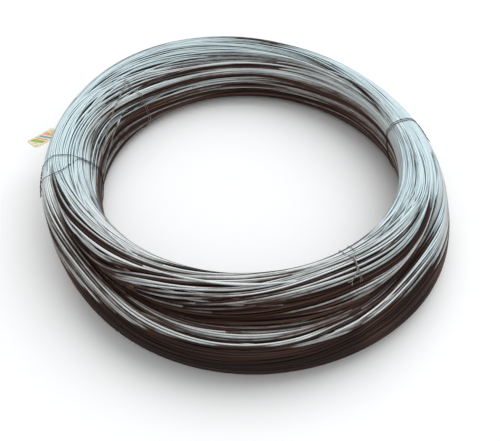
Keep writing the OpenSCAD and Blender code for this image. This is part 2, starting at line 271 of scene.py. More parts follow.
# A darker seam runs along the fourth lay line, added to the painted furrow shade, in rows of
# (theta, shade).
SEAM_SHADE = [(226, 0), (238, 9), (252, 9), (262, 4), (272, 0)]
SEAM_PLACE, SEAM_REACH = 3.0, 5.0


def band(rows, low_line, rises, high_line, falls):
    """A band between two lay lines, as strong as its rows say. It rises between two ways past the
    lower line, and falls between two ways past the higher one."""
    return round_rows(rows) * soft_step(*rises, past_line(low_line)) \
        * soft_step(*falls, past_line(high_line))


wall_rub_and_light = band(WALL_SHINE, SECOND, (4, 14), THIRD, (2, -6))
brink = band(BRINK_SHINE, THIRD, (2, 6), FOURTH, (1, -4))
left_group = band(LEFT_GROUP_SHINE, FOURTH, (2, 5), FIFTH, (-1, -4))
group_way = past_line(FIRST) - np.interp(theta_grid, *np.array(RIGHT_GROUP_START, float).T)[:, None]
right_group = round_rows(RIGHT_GROUP_SHINE) * soft_step(-2, 2, group_way) \
    * soft_step(17, 11, group_way)
seam = round_rows(SEAM_SHADE) * np.exp(-((past_line(FOURTH) - SEAM_PLACE) / SEAM_REACH) ** 2)

# Columns of the hull grid: plain radius and height, their normal, radius and height sunk by the
# furrows and steps, painted shade in millimetres of furrow depth, the upward part of the sunk
# surface's own normal, and a mark from -1 on a pale band, rubbed steel with painted light, to 1 on
# the dark low wall, brown film with painted shade.
R, Z, N_R, N_Z, SUNK_R, SUNK_Z, SHADE, FACING_UP, STEP_MARK = range(9)
FOOT_SHADE = 12.0


def hull_grid():
    """The ring's outer surface on a grid of theta and way, sunk along its normal by the furrows
    and moved back and down by the steps."""
    theta = np.broadcast_to(theta_grid[:, None], (GRID_TURN, GRID_ROUND))
    r, z, n_r, n_z = section(theta, np.broadcast_to(phi_of(way_grid)[None, :], theta.shape))
    sunk_r = r - furrow * n_r - BACK_SHARE * step_move
    sunk_z = z - furrow * n_z - DOWN_SHARE * step_move
    d_r = np.roll(sunk_r, -1, 1) - np.roll(sunk_r, 1, 1)
    d_z = np.roll(sunk_z, -1, 1) - np.roll(sunk_z, 1, 1)
    facing_up = -d_r / np.hypot(d_r, d_z)
    # Painted shade from the furrows, the step's foot and the seam, lifted on the open groups; the
    # pale marks are rubbed steel with painted light.
    open_group = np.max([brink, right_group, left_group], axis=0)
    shade = furrow * (1 - 0.8 * open_group) + FOOT_SHADE * foot_shade * (1 - right_group) \
        + seam * (1 - left_group)
    bright = np.max([ledge_mark, wall_rub_and_light, open_group], axis=0)
    step_mark = low_mark * (1 - bright) - bright
    return np.stack([r, z, n_r, n_z, sunk_r, sunk_z, shade, facing_up, step_mark], axis=-1)


HULL = hull_grid()
span_r = np.roll(HULL[..., SUNK_R], -1, 1) - HULL[..., SUNK_R]
span_z = np.roll(HULL[..., SUNK_Z], -1, 1) - HULL[..., SUNK_Z]
sunk_length = np.concatenate([np.zeros((GRID_TURN, 1)), np.cumsum(np.hypot(span_r, span_z), 1)], 1)


def on_hull(theta, way):
    """Values of the hull grid at any angles and ways, by straight mixing of the four corners."""
    t = np.asarray(theta, float) / TURN * GRID_TURN
    s = np.asarray(way, float) / ROUND * GRID_ROUND
    t0, s0 = np.floor(t).astype(int), np.floor(s).astype(int)
    ft, fs = (t - t0)[..., None], (s - s0)[..., None]
    ta, tb = t0 % GRID_TURN, (t0 + 1) % GRID_TURN
    sa, sb = s0 % GRID_ROUND, (s0 + 1) % GRID_ROUND
    return (HULL[ta, sa] * (1 - ft) * (1 - fs) + HULL[ta, sb] * (1 - ft) * fs
            + HULL[tb, sa] * ft * (1 - fs) + HULL[tb, sb] * ft * fs)


def placed(theta, r, z):
    """Points in metres from angle, radius and height, with the coil's lean to one side."""
    lean = 0.5 - z / waves(theta, HEIGHT_WAVES)
    turn = np.radians(theta)
    x = r * np.cos(turn) + LEAN_X * lean
    y = r * np.sin(turn) + LEAN_Y * lean + SHIFT_Y
    return np.stack([x, y, z], axis=-1) * MM


def plain_place(here, lift):
    """Radius and height at a lift along the normal from the plain section."""
    return here[..., R] + lift * here[..., N_R], here[..., Z] + lift * here[..., N_Z]


def sunk_place(here, lift):
    """Radius and height at a lift along the plain section's normal from the sunk surface."""
    return here[..., SUNK_R] + lift * here[..., N_R], here[..., SUNK_Z] + lift * here[..., N_Z]


def unit(v):
    """Vectors at length one."""
    return v / np.linalg.norm(v, axis=-1, keepdims=True)


def new_piece(name, points, quads, stands_for, slot, material, attributes=()):
    """A smooth mesh object from points, four-sided faces and named point values."""
    mesh = bpy.data.meshes.new(name)
    mesh.vertices.add(len(points))
    mesh.vertices.foreach_set("co", np.ascontiguousarray(points, np.float32).ravel())
    mesh.loops.add(quads.size)
    mesh.loops.foreach_set("vertex_index", np.ascontiguousarray(quads, np.int32).ravel())
    mesh.polygons.add(len(quads))
    mesh.polygons.foreach_set("loop_start", np.arange(0, quads.size, 4, dtype=np.int32))
    mesh.update(calc_edges=True)
    mesh.validate()
    mesh.polygons.foreach_set("use_smooth", np.ones(len(mesh.polygons), bool))
    for label, values in attributes:
        kind = "FLOAT" if values.ndim == 1 else "FLOAT_VECTOR"
        data = mesh.attributes.new(label, kind, "POINT").data
        data.foreach_set("value" if values.ndim == 1 else "vector",
                         np.ascontiguousarray(values, np.float32).ravel())
    piece = bpy.data.objects.new(name, mesh)
    bpy.context.collection.objects.link(piece)
    mesh.materials.append(material)
    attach(piece, "root")
    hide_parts(stands_for)
    return piece


def ring_faces(count, sides, closed):
    """Four-sided faces between successive rings of points, with flat ends where it is open."""
    i = np.arange(count if closed else count - 1)[:, None]
    a = np.arange(sides)[None, :]
    j, b = (i + 1) % count, (a + 1) % sides
    quads = np.stack(np.broadcast_arrays(i * sides + a, i * sides + b,
                                         j * sides + b, j * sides + a), -1).reshape(-1, 4)
    if closed:
        return quads
    m = np.arange(1, sides - 2, 2)
    near = np.stack([np.zeros_like(m), m + 2, m + 1, m], -1)
    far = np.stack([np.zeros_like(m), m, m + 1, m + 2], -1) + (count - 1) * sides
    return np.concatenate([quads, near, far])


def round_wire(path, across, radius, sides, closed=False):
    """A circle carried along a path; across is any direction that the path never follows."""
    if closed:
        along = unit(np.roll(path, -1, 0) - np.roll(path, 1, 0))
    else:
        along = unit(np.gradient(path, axis=0))
    side = unit(np.cross(across, along))
    lift = np.cross(along, side)
    turn = np.arange(sides) * 2 * math.pi / sides
    rim = side[:, None, :] * np.cos(turn)[None, :, None] \
        + lift[:, None, :] * np.sin(turn)[None, :, None]
    points = path[:, None, :] + radius * MM * rim
    return points.reshape(-1, 3), ring_faces(len(path), sides, closed)


def joined(parts):
    """Several point and face sets as one."""
    points, quads, start = [], [], 0
    for p, q in parts:
        points.append(p)
        quads.append(q + start)
        start += len(p)
    return np.concatenate(points), np.concatenate(quads)


def wander(rows, theta, terms, seeds):
    """Rows of gentle random waves round the ring, each a sum of a few whole-turn sines."""
    size = seeds.normal(size=(rows, terms)) / np.sqrt(np.arange(1, terms + 1))[None, :] ** 0.6
    start = seeds.uniform(0, 2 * math.pi, size=(rows, terms))
    n = np.arange(1, terms + 1)
    turn = np.radians(theta)
    waves_now = np.cos(n[None, None, :] * turn[:, None, None] + start[None, :, :])
    return (size[None, :, :] * waves_now).sum(-1) / math.sqrt(terms / 2)


# Colours and nodes

def linear(code):
    """An sRGB hex code as linear red, green, blue and alpha."""
    parts = [int(code[i:i + 2], 16) / 255 for i in (1, 3, 5)]
    return [c / 12.92 if c <= 0.04045 else ((c + 0.055) / 1.055) ** 2.4 for c in parts] + [1.0]


def node(tree, kind, settings=None, **links):
    """Adds a shader node: settings go to properties, sockets or the stops of a colour ramp, given
    as (place, hex colour), and links join sockets to inputs."""
    made = tree.nodes.new("ShaderNode" + kind)
    for key, value in (settings or {}).items():
        if key == "stops":
            for _ in value[2:]:
                made.color_ramp.elements.new(0.5)
            for element, (place, code) in zip(made.color_ramp.elements, value):
                element.position, element.color = place, linear(code)
        elif isinstance(key, str) and hasattr(made, key):
            setattr(made, key, value)
        else:
            made.inputs[key].default_value = value
    for key, source in links.items():
        tree.links.new(source, made.inputs[int(key[1:]) if key[1:].isdigit() else
                                           key.replace("_", " ")])
    return made


def new_material(name):
    """A material with no nodes yet, and its node tree."""
    material = bpy.data.materials.new(name)
    material.use_nodes = True
    tree = material.node_tree
    tree.nodes.clear()
    return material, tree


def value_of(tree, name, output="Fac"):
    """A named point value of the mesh."""
    return node(tree, "Attribute", {"attribute_name": name}).outputs[output]


def noise(tree, place, scale, detail, roughness=0.5):
    """Soft noise over a place."""
    settings = {"Scale": scale, "Detail": detail, "Roughness": roughness}
    return node(tree, "TexNoise", settings, Vector=place).outputs["Fac"]


def finish_with(tree, settings, **links):
    """Gives the material its one shader and joins it to the output."""
    shader = node(tree, "BsdfPrincipled", settings, **links)
    node(tree, "OutputMaterial", None, Surface=shader.outputs[0])


# Lengths of the surface patterns in millimetres: streaks and blotches along a wire, spots in the
# soap film, spots of furnace scale or zinc on the ties, and soil on the tag.
STREAK, BLOTCH = 300.0, 25.0
FILM_SPOT, SCALE_SPOT, SOIL_SPOT = 25.0, 6.25, 6.25


def drawn_steel():
    """Drawn low-carbon steel wire: a grey skin where the brown film is rubbed off, with a painted
    blue reflection of the sky on top at the sides and the back, and a brown film of drawing soap
    and light rust elsewhere. Painted light makes upward-facing strands paler, and painted shade
    darkens the film towards near black in furrows, on the low wall and at the flanks of each wire.
    The eye sees pale hard-edged lines on top and dull brown lines on the walls."""
    material, tree = new_material("drawn_steel_wire")
    shelter, tone, cool = (value_of(tree, name) for name in ("shelter", "tone", "cool"))
    # The lay counts in streak lengths along a wire, and no pattern crosses to the next wire.
    lay = value_of(tree, "lay", "Vector")
    streak = noise(tree, lay, 1.0, 3.0, 0.6)
    blotch = noise(tree, lay, STREAK / BLOTCH, 2.0, 0.6)
    # How pale the steel is: rubbed steel with painted light, less where painted shade falls.
    lit_bareness = value_of(tree, "open_air")
    for share, source in ((0.7, streak), (0.9, tone), (0.4, blotch)):
        lit_bareness = node(tree, "Math", {"operation": "MULTIPLY_ADD", 1: share}, _0=source,
                    _2=lit_bareness).outputs[0]
    lit_bareness = node(tree, "MapRange", {"interpolation_type": "SMOOTHSTEP", 1: 0.97, 2: 1.97},
                _0=lit_bareness).outputs[0]
    grey = node(tree, "ValToRGB", {"stops": [(0.2, "#574840"), (0.55, "#949290"),
                                             (0.8, "#B6B6B4"), (0.95, "#C9CAC9")]}, Fac=lit_bareness)
    # Painted blue reflection of the sky, mixed in where the steel is tinted.
    blue = node(tree, "ValToRGB", {"stops": [(0.2, "#4A4948"), (0.55, "#8E9A9D"),
                                             (0.8, "#AEBDC0"), (0.95, "#C0D0D4")]}, Fac=lit_bareness)
    steel = node(tree, "Mix", {"data_type": "RGBA"}, Factor=cool, _6=grey.outputs["Color"],
                 _7=blue.outputs["Color"])
    stain = node(tree, "Mix", {"Factor": 0.5}, _2=streak, _3=tone).outputs[0]
    film = node(tree, "ValToRGB", {"stops": [(0.25, "#1D100C"), (0.5, "#4E332A"),
                                             (0.75, "#7C5A4E")]}, Fac=stain)
    # Painted shade darkens the film towards near black.
    shaded_film = node(tree, "Mix", {"data_type": "RGBA", 7: linear("#140B08")}, Factor=shelter,
                _6=film.outputs["Color"])
    seen = node(tree, "MapRange", {"interpolation_type": "SMOOTHSTEP", 1: 0.1, 2: 0.5}, _0=lit_bareness)
    colour = node(tree, "Mix", {"data_type": "RGBA"}, Factor=seen.outputs[0], _6=shaded_film.outputs[2],
                  _7=steel.outputs[2])
    metal = node(tree, "MapRange", {3: 0.1, 4: 0.65}, _0=lit_bareness).outputs[0]
    rough = node(tree, "MapRange", {3: 0.65, 4: 0.42}, _0=lit_bareness).outputs[0]
    finish_with(tree, {"Specular IOR Level": 0.2}, Base_Color=colour.outputs[2], Metallic=metal,
                Roughness=rough)
    return material


def spotted_metal(name, spot, dull, bright, metallic, roughness):
    """A metal with soft spots between two colours, about as long as spot in millimetres."""
    material, tree = new_material(name)
    place = node(tree, "TexCoord").outputs["Object"]
    spots = noise(tree, place, 1 / (spot * MM), 2.0)
    colour = node(tree, "ValToRGB", {"stops": [(0.35, dull), (0.65, bright)]}, Fac=spots)
    finish_with(tree, {"Metallic": metallic, "Roughness": roughness},
                Base_Color=colour.outputs["Color"])
    return material


wire_steel = drawn_steel()
# The same wire far inside the coil: brown soap film painted near black as painted shade, so that
# the gaps between the turns look nearly black.
shade_dark_inside_steel = spotted_metal("steel_wire_inside_painted_shade", FILM_SPOT, "#150E0D", "#2A1B18", 0.3, 0.6)
# Annealed iron with scale from the furnace: a thin dark line with a slight spotty sheen.
dark_tie = spotted_metal("annealed_black_binding_wire", SCALE_SPOT, "#1C1716", "#3A312E", 0.8, 0.45)
# Iron with a zinc coat: a thin pale line with the same spotty sheen.
light_tie = spotted_metal("galvanised_binding_wire", SCALE_SPOT, "#6E6965", "#A9A6A1", 0.8, 0.4)

# The coil's outer turns

SLICES = 192
slice_theta = np.arange(SLICES) * TURN / SLICES
# The two ties that go round the whole ring hold the turns still near them.
NIP_PLACES, NIP_WIDTH = (195.0, 20.0), 9.0
nip = sum(bell(slice_theta, place, NIP_WIDTH) for place in NIP_PLACES)
loose = 1 - 0.8 * np.clip(nip, 0, 1)
SLOT_FILL = 0.93
SHUFFLE, SINK, DIVE, DEEPEST_DIVE = WIRE * 0.28, WIRE * 0.16, WIRE * 0.9, 4.0
# Dive at which the painted shade on a strand is full, and its reach in slices.
SHADE_FULL_DIVE, SHADE_REACH = 3.0, 8


def round_ring(values):
    """Grid values read at the slice angles."""
    t = slice_theta / TURN * GRID_TURN
    t0 = np.floor(t).astype(int)
    part = (t - t0)[:, None]
    return values[t0 % GRID_TURN] * (1 - part) + values[(t0 + 1) % GRID_TURN] * part


def slot_ways():
    """Way along the section of each surface slot in each slice, and its way on the sunk surface.

    Between two lay lines the slots are evenly spread over the sunk surface, as many as the
    widest place holds, so strands fan out and close up along the lines.
    """
    length, lines = round_ring(sunk_length), round_ring(line_ways)
    ways = np.append(way_grid, ROUND)
    edges = np.concatenate([np.zeros((SLICES, 1)), lines, np.full((SLICES, 1), ROUND)], 1)
    reach = np.stack([np.interp(row, ways, run) for row, run in zip(edges, length)])
    widest = np.diff(reach, axis=1).max(0)
    counts = np.maximum(2, np.round(widest * SLOT_FILL / WIRE)).astype(int)
    marks = np.concatenate([[0], np.cumsum(counts)])
    places = np.arange(marks[-1] + 1)
    run_at = np.stack([np.interp(places, marks, row) for row in reach])
    return np.stack([np.interp(at, run, ways) for at, run in zip(run_at, length)]), run_at


slots, slot_run = slot_ways()
SLOTS = slots.shape[1] - 1
spacing = np.diff(slot_run, axis=1)
crowding = WIRE / np.maximum(0.05, (spacing + np.roll(spacing, 1, 1)) / 2)
# Where strands crowd they dive in the order of their number's reversed bits, so that those left
# on top are spread evenly.
bits = np.array([int(format(i % 16, "04b")[::-1], 2) / 16 for i in range(SLOTS)])
dive = DIVE * np.clip(bits[None, :] * crowding - 1, 0, DEEPEST_DIVE)
shuffle = SHUFFLE * wander(SLOTS, slice_theta, 9, rng) * loose[:, None]
sink = SINK * np.abs(wander(SLOTS, slice_theta, 7, rng)) * loose[:, None] + dive
# Painted shade on a strand well before it goes under its neighbours, less so at the pale sides.
dull = np.max([np.clip(np.roll(dive, k, 0) / SHADE_FULL_DIVE, 0, 1) * (1 - abs(k) / SHADE_REACH)
               for k in range(1 - SHADE_REACH, SHADE_REACH)], 0)
dull *= 1 - 0.75 * soft_step(0.84, 0.97, np.abs(np.cos(np.radians(slice_theta))))[:, None]
wire_tone = 0.5 + 0.5 * np.tanh(wander(SLOTS, slice_theta, 4, rng))
# The slot after the last one is the first again.
shuffle, sink, dull, wire_tone = (
    np.concatenate([v, v[:, :1]], 1) for v in (shuffle, sink, dull, wire_tone))

# Ranges of phi, and then of theta: where each starts, is full, begins to fade and ends.
INNER_EDGE, EYE_WALL = (96, 120, 164, 178), (152, 172, 230, 250)
BACK_EYE, LEFT_EYE = (136, 150, 186, 204), (138, 158, 196, 216)
LEFT_STAIN, BACK_STAIN, LEFT_WALL = (197, 206, 217, 234), (70, 95, 158, 178), (194, 206, 240, 270)
# Places on top that are paler or darker than the rest, in rows of (theta, width, how much).
TOP_PLACES = ((322, 15, -0.2), (162, 32, 0.13), (234, 22, 0.2))


def rub_and_light(theta, way, here):
    """How pale the strands are, partly rubbed steel and partly painted light: a smooth rise with
    how far they face up, stronger at the two sides of the ring as a painted highlight, where also
    the edges are bright, and at the back's inner edge. The pale bands are bright. The low wall is
    dark, brown film with painted shade, the stains are dull, and most of the eye's wall is darker
    as painted shade."""
    turn = np.radians(theta)
    phi = phi_of(way)
    side = np.abs(np.cos(turn)) ** (3 - np.sin(turn))
    rear = np.clip(np.sin(turn), 0, 1)
    inner = between(phi, *INNER_EDGE)
    low = 0.3 - 0.5 * side - 0.2 * rear * inner - 0.25 * bell(theta, 184, 24) * inner
    strong = 0.52 + 0.56 * side + 0.25 * rear \
        + sum(much * bell(theta, middle, width) for middle, width, much in TOP_PLACES)
    # Painted light: paler as the strands face up, and more at the two sides of the ring.
    up = soft_step(0, 1, (here[..., FACING_UP] - low) / (0.62 - 0.2 * side)) * strong
    rubbed = 0.36 * bell(theta, 98, 44) * between(phi, *BACK_EYE)
    hollow = 0.42 * bell(theta, 206, 14) * between(phi, *LEFT_EYE)
    # Painted shade on most of the eye's wall.
    depth = (0.18 + 0.16 * side - 0.14 * rear) * between(phi, *EYE_WALL)
    pale = np.clip(-here[..., STEP_MARK], 0, 1)
    low_wall = np.clip(here[..., STEP_MARK], 0, 1)
    stained = 0.22 * between(theta, *LEFT_STAIN) * soft_step(74, 60, phi) \
        + 0.6 * between(theta, *BACK_STAIN) * soft_step(80, 62, phi)
    return np.maximum(up + rubbed + hollow - depth, 0.78 * pale) * (1 - low_wall) * (1 - stained) \
        - 0.36 * low_wall


def painted_sky_tint(theta, here):
    """How far the steel gets a painted blue reflection of the sky: on top at the sides and the back
    of the ring, and on the eye's wall at the left, less at the left outer wall and the back's inner
    edge."""
    turn = np.radians(theta)
    outward = soft_step(-0.1, 0.5, here[:, N_R])
    inward = soft_step(0.1, -0.5, here[:, N_R])
    place = 0.2 + 0.8 * soft_step(-0.85, -0.25, np.sin(turn))
    left_wall = between(theta, *LEFT_WALL) * outward
    back_edge = np.clip(np.sin(turn), 0, 1) * inward
    cast = place * soft_step(0.1, 0.8, here[:, FACING_UP]) * (1 - 0.75 * left_wall) \
        * (1 - 0.7 * back_edge)
    return np.maximum(cast, 0.9 * bell(theta, 200, 20) * inward)


def crown(points, path, theta, here):
    """1 on the outer crown of a wire and 0 at its flanks, at each point of its rings, for the
    painted shade at the flanks between neighbouring wires.
    """
    turn = np.radians(theta)
    n_z = here[:, FACING_UP]
    n_r = np.sign(here[:, N_R]) * np.sqrt(np.clip(1 - n_z ** 2, 0, 1))
    normal = np.stack([n_r * np.cos(turn), n_r * np.sin(turn), n_z], -1)
    rim = points.reshape(-1, WIRE_SIDES, 3) - path[:, None, :]
    return soft_step(0, 0.8, (rim * normal[:, None, :]).sum(-1) / (WIRE / 2 * MM)).ravel()


# The steel's pattern runs along each wire. Each wire and each layer has a place of its own across.
MM_PER_DEGREE = 6.3
NEXT_WIRE, SECOND_LAYER, LOOSE_LAYER = 7.3, 400.0, 900.0


def lay_place(degrees, across):
    """Pattern places of a wire: streak lengths along it, and its place across."""
    return np.stack(np.broadcast_arrays(degrees * MM_PER_DEGREE / STREAK, across, 0.0), -1)


def round_rim(sides, **looks):
    """Named values of a wire's path, each repeated for the points of its rim."""
    return tuple((label, np.repeat(values, sides, axis=0)) for label, values in looks.items())


MOVE_OVER = (64, 104)
FULL_SHADE, UNDER_SHADE = 24.0, 10.0


def turns(first, last):
    """One continuous wire through slots first to last.

    In each turn it keeps to its slot and moves over to the next in one short stretch at the
    back, so the end of a turn is the start of the next one.
    """
    over = soft_step(*MOVE_OVER, slice_theta)[:, None]

    def follow(values):
        """Slot values along the wire."""
        now = values[:, first:last] * (1 - over) + values[:, first + 1:last + 1] * over
        return np.append(now.T.ravel(), values[0, last])

    way = follow(slots + shuffle)
    theta = np.append(np.tile(slice_theta, last - first), 0.0)
    here = on_hull(theta, way)
    r, z = sunk_place(here, -(follow(sink) + WIRE / 2))
    path = placed(theta, r, np.maximum(WIRE / 2, z))
    points, quads = round_wire(path, UP, WIRE / 2, WIRE_SIDES)
    # Painted shade from the furrows and from strands about to go under their neighbours.
    shaded = np.clip(here[:, SHADE] / FULL_SHADE + 0.8 * follow(dull), 0, 1)
    open_air = (0.06 + rub_and_light(theta, way, here)) * (1 - np.clip(1.4 * shaded, 0, 0.85))
    # Painted shade at the flanks of each wire, between neighbouring wires.
    open_air = np.repeat(open_air, WIRE_SIDES) * (0.5 + 0.5 * crown(points, path, theta, here))
    # Painted shade darkens the film in furrows, on the dark low wall and on the eye's inner wall at
    # the left.
    left_eye = bell(theta, 168, 24) * soft_step(-0.5, -0.9, here[:, N_R])
    shelter = 0.3 * shaded + 0.8 * np.clip(here[:, STEP_MARK], 0, 1) + 0.4 * left_eye
    number = np.append(np.repeat(np.arange(first, last), SLICES), last - 1)
    lay = lay_place(np.arange(len(path)) * (TURN / SLICES), number * NEXT_WIRE)
    values = round_rim(WIRE_SIDES, shelter=shelter, tone=follow(wire_tone),
                       cool=painted_sky_tint(theta, here), lay=lay)
    return points, quads, (("open_air", open_air),) + values


def wire_piece(name, points, quads, values):
    """A piece of the coil made of uncoated wire."""
    new_piece(name, points, quads, "wire_coil", "drawn_steel", wire_steel, values)


half = SLOTS // 2
wire_piece("coil_turns_outer", *turns(0, half))
wire_piece("coil_turns_inner", *turns(half, SLOTS))

# The layers below

UNDER_COUNT, UNDER_SLICES = 92, 150
UNDER_DEPTH, UNDER_WANDER, UNDER_LOWEST = WIRE * 1.4, WIRE * 1.4, WIRE / 2 + 2.5
CORE_SLICES, CORE_ROUND, CORE_DEPTH = 120, 96, WIRE * 2.4


def under_turns():
    """The next layer down: closed rings spread evenly round the section below the outer turns."""
    theta = np.arange(UNDER_SLICES) * TURN / UNDER_SLICES
    # Painted light: this layer is paler at the two sides of the ring.
    light = 0.5 + 0.3 * np.cos(np.radians(theta)) ** 2
    parts, open_air, shelter, cool, lay = [], [], [], [], []
    ways = np.arange(UNDER_COUNT)[None, :] * ROUND / UNDER_COUNT \
        + UNDER_WANDER * wander(UNDER_COUNT, theta, 6, rng)
    tones = 0.5 + 0.5 * np.tanh(wander(UNDER_COUNT, theta, 4, rng))
    for k in range(UNDER_COUNT):
        here = on_hull(theta, ways[:, k])
        r, z = sunk_place(here, -UNDER_DEPTH)
        path = placed(theta, r, np.maximum(UNDER_LOWEST, z))
        parts.append(round_wire(path, UP, WIRE / 2, UNDER_SIDES, True))
        # Painted shade under a furrow, and some everywhere under the outer turns.
        hidden = np.clip(here[:, SHADE] / UNDER_SHADE, 0, 1)
        open_air.append(rub_and_light(theta, ways[:, k], here) * light * (1 - hidden))
        shelter.append(0.25 + 0.3 * hidden)
        cool.append(painted_sky_tint(theta, here))
        lay.append(lay_place(theta, SECOND_LAYER + NEXT_WIRE * k))
    values = round_rim(UNDER_SIDES, open_air=np.concatenate(open_air),
                       shelter=np.concatenate(shelter), tone=tones.T.ravel(),
                       cool=np.concatenate(cool), lay=np.concatenate(lay))
    return (*joined(parts), values)


wire_piece("coil_turns_second_layer", *under_turns())


def core():
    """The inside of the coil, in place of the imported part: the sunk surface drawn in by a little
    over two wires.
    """
    theta = np.arange(CORE_SLICES) * TURN / CORE_SLICES
    way = np.arange(CORE_ROUND) * ROUND / CORE_ROUND
    t, s = np.meshgrid(theta, way, indexing="ij")
    r, z = sunk_place(on_hull(t, s), -CORE_DEPTH)
    points = placed(t, r, np.maximum(WIRE, z)).reshape(-1, 3)
    return points, ring_faces(len(theta), len(way), True)


points, quads = core()
new_piece("coil_packed_core", points, quads[:, ::-1], "wire_coil", "drawn_steel", shade_dark_inside_steel)

# Binding ties

TIE_POINTS, TIE_EASING = 240, 12
TAUT, SECOND_TAUT, HIDDEN_DEPTH, TIE_LOWEST = 0.75, 1.0, 40.0, 0.7


def ring_way(theta):
    """Unit vectors along the ring at each angle."""
    turn = np.radians(theta)
    return np.stack([-np.sin(turn), np.cos(turn), np.zeros_like(turn)], -1)


def eased_rows(rows, count):
    """Points spread along straight rows and then averaged with neighbours, the ends kept."""
    rows = np.array(rows, float)
    at = np.linspace(0, len(rows) - 1, count)
    line = np.stack([np.interp(at, np.arange(len(rows)), rows[:, i])
                     for i in range(rows.shape[1])], -1)
    for _ in range(count // 8):
        line[1:-1] = (line[:-2] + 2 * line[1:-1] + line[2:]) / 4
    return line


def tie_round(rows, lift, hidden):
    """A taut strand right round the section, its angle theta read from rows of (phi, theta).

    Between the two hidden angles, if any, it runs among the turns, below the surface.
    """
    rows = np.array(rows, float)
    phi = np.linspace(-90, 270, TIE_POINTS, endpoint=False)
    theta = np.interp(phi, rows[:, 0], rows[:, 1])
    for _ in range(TIE_EASING):
        theta = (np.roll(theta, 1) + 2 * theta + np.roll(theta, -1)) / 4
    here = on_hull(theta, way_of(phi))
    if hidden:
        start, end = hidden
        under = between(phi, start, start + 12, end, end + 8)
        r, z = sunk_place(here, lift - HIDDEN_DEPTH * under)
    else:
        r, z = plain_place(here, lift)
    path = placed(theta, r, np.maximum(TIE_LOWEST, z))
    return round_wire(path, ring_way(theta), TIE_WIRE / 2, TIE_SIDES, True)


def lying(rows, count):
    """A path over the plain section from rows of (theta, phi, lift)."""
    theta, phi, lift = eased_rows(rows, count).T
    return placed(theta, *plain_place(on_hull(theta, way_of(phi)), lift))


def twist(path, turns_made, spread_end):
    """Two strands wound about a path as a double helix that opens a little at the free end."""
    along = unit(np.gradient(path, axis=0))
    side = unit(np.cross(NEARLY_UP, along))
    lift = np.cross(along, side)
    t = np.linspace(0, 1, len(path))
    gap = (TIE_WIRE * 0.52 + spread_end * soft_step(0.86, 1.0, t)) * MM
    parts = []
    for start in (0, math.pi):
        turn = start + 2 * math.pi * turns_made * np.minimum(t, 0.9)
        wound = path + (gap * np.cos(turn))[:, None] * side + (gap * np.sin(turn))[:, None] * lift
        parts.append(round_wire(wound, NEARLY_UP, TIE_WIRE / 2, TIE_SIDES))
    return parts


# Strands in rows of (phi, theta), and twisted ends in rows of (theta, phi, lift).
LEFT_STRAND = [(-90, 197), (0, 197), (50, 196), (62, 196), (82, 194), (123, 194), (152, 192),
               (173, 189), (183, 186), (195, 188), (230, 193), (270, 197)]
LEFT_SECOND = [(-90, 198), (0, 201), (50, 202), (67, 202), (85, 202), (97, 200), (118, 196.5),
               (124, 194.6), (152, 192.6), (173, 189.7), (183, 186.7), (195, 188.7), (230, 194),
               (270, 198)]
RIGHT_STRAND = [(-90, 21), (80, 21), (103, 20.4), (136, 20.6), (150, 21.8), (200, 22), (270, 21)]
RIGHT_SECOND = [(p, t - 0.8) for p, t in RIGHT_STRAND]
FRONT_STRAND = [(-90, 307), (60, 307), (80, 308.5), (98, 312), (104, 312.8), (111, 315), (160, 316),
                (220, 312), (270, 307)]
FRONT_SECOND = [(-90, 307.7), (60, 307.7), (80, 309.2), (98, 312.2), (108, 311.8), (125, 311.5),
                (160, 312), (220, 311), (270, 307.7)]
BACK_STRAND = [(-90, 149), (60, 147), (108, 146), (134, 147), (160, 145), (200, 146), (270, 149)]
BACK_SECOND = [(-90, 149.8), (60, 147.8), (108, 146.4), (134, 148), (160, 146), (200, 147),
               (270, 149.8)]
LEFT_ENDS = [(196, 30, 1.4), (197, 22, 3.2), (199, 16, 5), (202, 12, 5)]
RIGHT_ENDS = [(21, 36, 1.4), (21, 28, 3.2), (19, 20, 5), (16, 16, 5)]
FRONT_ENDS = [(312, 98, 1.6), (311, 91, 2.6), (309, 88, 2.6), (307, 84.5, 2.4), (305, 81, 2.2)]
BACK_ENDS = [(146, 106, 1.6), (150, 125, 2.6), (155, 135, 2.6), (163, 151, 2.4), (169, 164, 2.4),
             (175, 174, 2.4), (181, 179, 2.4)]
# Angles phi between which the front and the back tie run among the turns.
FRONT_HIDDEN, BACK_HIDDEN = (-60, 76), (-60, 98)


def tie(side, strands, hidden, ends, slot, material):
    """Two taut strands and their twisted ends, given as rows, points, turns and opening."""
    rows, count, turns_made, spread_end = ends
    parts = [tie_round(strand_rows, lift, hidden) for strand_rows, lift in strands]
    parts += twist(lying(rows, count), turns_made, spread_end)
    new_piece(side + "_tie_wire", *joined(parts), side + "_tie", slot, material)


tie("left", ((LEFT_STRAND, TAUT), (LEFT_SECOND, SECOND_TAUT)), None, (LEFT_ENDS, 40, 3, 1.2),
    "dark_binding_wire", dark_tie)
tie("right", ((RIGHT_STRAND, TAUT), (RIGHT_SECOND, TAUT)), None, (RIGHT_ENDS, 40, 3, 1.2),
    "dark_binding_wire", dark_tie)
tie("front", ((FRONT_STRAND, TAUT), (FRONT_SECOND, SECOND_TAUT)), FRONT_HIDDEN,
    (FRONT_ENDS, 90, 5, 3.0), "bright_binding_wire", light_tie)
tie("back", ((BACK_STRAND, TAUT), (BACK_SECOND, SECOND_TAUT)), BACK_HIDDEN,
    (BACK_ENDS, 170, 13, 1.5), "bright_binding_wire", light_tie)

# Loose strands

STRAND_POINTS = 60
